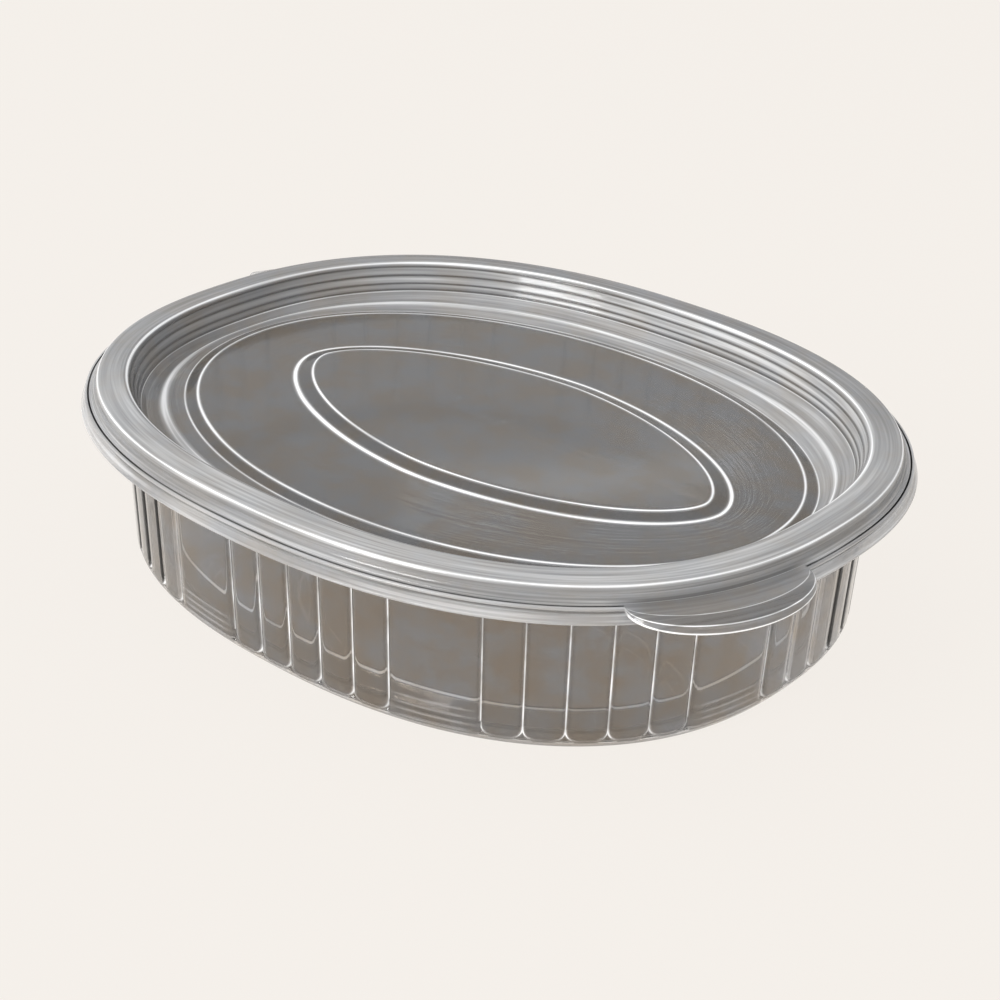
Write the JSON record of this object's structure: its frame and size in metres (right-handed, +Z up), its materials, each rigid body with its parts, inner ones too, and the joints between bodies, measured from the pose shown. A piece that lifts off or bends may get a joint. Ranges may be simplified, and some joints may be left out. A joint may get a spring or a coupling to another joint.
{
  "type": "hinged sauce container",
  "caption": "Clear thin-walled oval sauce container with fluted sides, a raised snap rim, a sunken lid with a pull tab, and a fold hinge that lets the lid open flat.",
  "frame": {"origin": "under the middle of the oval, on the surface that the foot ring stands on", "axes": "+Z up, +X along the long axis of the oval towards the pull tab's end, +Y across it; the lid is shut"},
  "size_m": [0.127, 0.1022, 0.0269],
  "materials": {
    "tub_plastic": "clear, glossy, slightly smoke grey",
    "lid_plastic": "clear, glossy, slightly smoke grey"
  },
  "bodies": {
    "tub": {"tub": "tub_plastic"},
    "lid": {"lid": "lid_plastic"}
  },
  "joints": [
    {"name": "lid_hinge", "type": "hinge", "parent": "tub", "child": "lid", "pos_m": [-0.05854, 0.02228, 0.0239], "axis": [-0.391, -0.9204, 0], "range_deg": [0, 180]}
  ]
}
